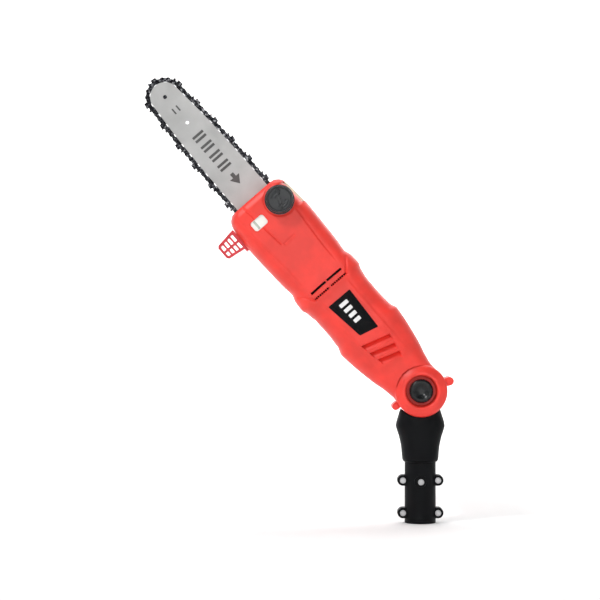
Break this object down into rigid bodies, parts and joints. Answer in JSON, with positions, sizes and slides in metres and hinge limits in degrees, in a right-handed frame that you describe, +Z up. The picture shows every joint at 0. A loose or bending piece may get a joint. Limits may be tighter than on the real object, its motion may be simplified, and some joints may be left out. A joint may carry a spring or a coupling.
{
  "type": "pole saw head",
  "caption": "Electric pole saw head: tilting red motor casing with guide bar, saw chain, oil cap and branch stop, on a black two-part pole socket with a tilt lock button.",
  "frame": {"origin": "centre of the pole socket's mouth", "axes": "+Z up along the pole, -Y toward the side with the oil cap and the lock button, the bar leans toward -X"},
  "size_m": [0.4628, 0.1155, 0.6677],
  "materials": {
    "casing_red": "satin moulded",
    "stop_red": "satin moulded",
    "black_plastic": "fine texture",
    "knob_black": "satin",
    "tank_white": "natural translucent",
    "bar_steel": "ground",
    "chain_steel": "oiled",
    "screw_steel": "plated",
    "core_steel": "laminated",
    "copper": "enamelled wire",
    "carbon": "pressed carbon",
    "housing_aluminium": "die cast",
    "worm_brass": "turned",
    "lead_rubber": "matt"
  },
  "bodies": {
    "pole_adaptor": {"socket_half_front": "black_plastic", "socket_half_rear": "black_plastic", "socket_screws": "screw_steel", "socket_nuts": "screw_steel", "pole_lock_screw": "screw_steel", "neck_front_half": "black_plastic", "neck_rear_half": "black_plastic", "neck_screws": "screw_steel", "neck_lock_ring": "screw_steel", "power_connector": "black_plastic", "neck_lead": "lead_rubber"},
    "saw_head": {"casing_left_shell": "casing_red", "casing_right_shell": "casing_red", "casing_screws": "screw_steel", "label_plate": "black_plastic", "branch_stop": "stop_red", "oil_tank": "tank_white", "oil_pump_body": "tank_white", "motor_stator_core": "core_steel", "stator_windings": "copper", "brush_holders": "black_plastic", "carbon_brushes": "carbon", "brush_springs": "screw_steel", "motor_end_bracket": "black_plastic", "rear_bearing": "screw_steel", "front_bearing": "screw_steel", "gear_housing": "housing_aluminium", "gear_housing_screws": "screw_steel", "spindle_bearings": "screw_steel", "bar_stud": "screw_steel", "bar_mount_plate": "bar_steel", "chain_catcher": "chain_steel", "pivot_sleeves": "screw_steel", "pivot_screw": "screw_steel", "lock_spring": "screw_steel"},
    "rotor": {"armature_shaft": "screw_steel", "armature_core": "core_steel", "armature_winding": "copper", "commutator": "copper", "cooling_fan": "black_plastic", "bevel_pinion": "chain_steel"},
    "spindle": {"sprocket_spindle": "screw_steel", "bevel_gear": "chain_steel", "drive_sprocket": "chain_steel", "sprocket_clip": "chain_steel", "pump_worm": "worm_brass"},
    "bar_and_chain": {"guide_bar": "bar_steel", "bar_nose_rivet": "chain_steel", "chain_drive_links": "chain_steel", "chain_tie_straps": "chain_steel", "chain_cutters": "chain_steel", "chain_rivets": "chain_steel", "tension_block": "screw_steel"},
    "nose_wheel": {"nose_sprocket": "chain_steel"},
    "tensioner": {"tension_screw": "screw_steel"},
    "cover": {"sprocket_cover": "casing_red"},
    "knob": {"cover_knob": "knob_black"},
    "filler_cap": {"oil_cap": "knob_black"},
    "tilt_lock": {"lock_button": "knob_black", "lock_cog": "screw_steel"}
  },
  "joints": [
    {"name": "head_tilt", "type": "hinge", "parent": "pole_adaptor", "child": "saw_head", "pos_m": [0, 0, 0.1975], "axis": [0, 1, 0], "range_deg": [0, 41]},
    {"name": "lock_press", "type": "slide", "parent": "saw_head", "child": "tilt_lock", "axis": [0, 1, 0], "range_m": [0, 0.005], "stiffness_N_per_m": 900, "springref_m": -0.003},
    {"name": "cap_turn", "type": "hinge", "parent": "saw_head", "child": "filler_cap", "pos_m": [-0.20957, -0.05, 0.47974], "axis": [0, -1, 0], "continuous": true},
    {"name": "cover_lift", "type": "slide", "parent": "saw_head", "child": "cover", "axis": [0, 1, 0], "range_m": [0, 0.04]},
    {"name": "knob_turn", "type": "hinge", "parent": "cover", "child": "knob", "pos_m": [-0.21322, 0.043, 0.44278], "axis": [0, 1, 0], "continuous": true},
    {"name": "bar_slide", "type": "slide", "parent": "saw_head", "child": "bar_and_chain", "axis": [-0.6561, 0, 0.7547], "range_m": [-0.006, 0]},
    {"name": "tension_turn", "type": "hinge", "parent": "saw_head", "child": "tensioner", "pos_m": [-0.22297, 0.0134, 0.42503], "axis": [-0.6561, 0, 0.7547], "range_deg": [-2170, 10]},
    {"name": "rotor_spin", "type": "hinge", "parent": "saw_head", "child": "rotor", "pos_m": [-0.09841, 0, 0.31071], "axis": [-0.6561, 0, 0.7547], "continuous": true},
    {"name": "spindle_spin", "type": "hinge", "parent": "saw_head", "child": "spindle", "pos_m": [-0.18042, 0, 0.40504], "axis": [0, 1, 0], "continuous": true},
    {"name": "nose_spin", "type": "hinge", "parent": "bar_and_chain", "child": "nose_wheel", "pos_m": [-0.38281, 0.026, 0.63787], "axis": [0, 1, 0], "continuous": true}
  ],
  "couplings": [
    {"joint": "spindle_spin", "follows": "rotor_spin", "ratio": 0.33333},
    {"joint": "nose_spin", "follows": "rotor_spin", "ratio": 0.22222},
    {"joint": "tension_turn", "follows": "bar_slide", "rad_per_m": 6283.2}
  ]
}
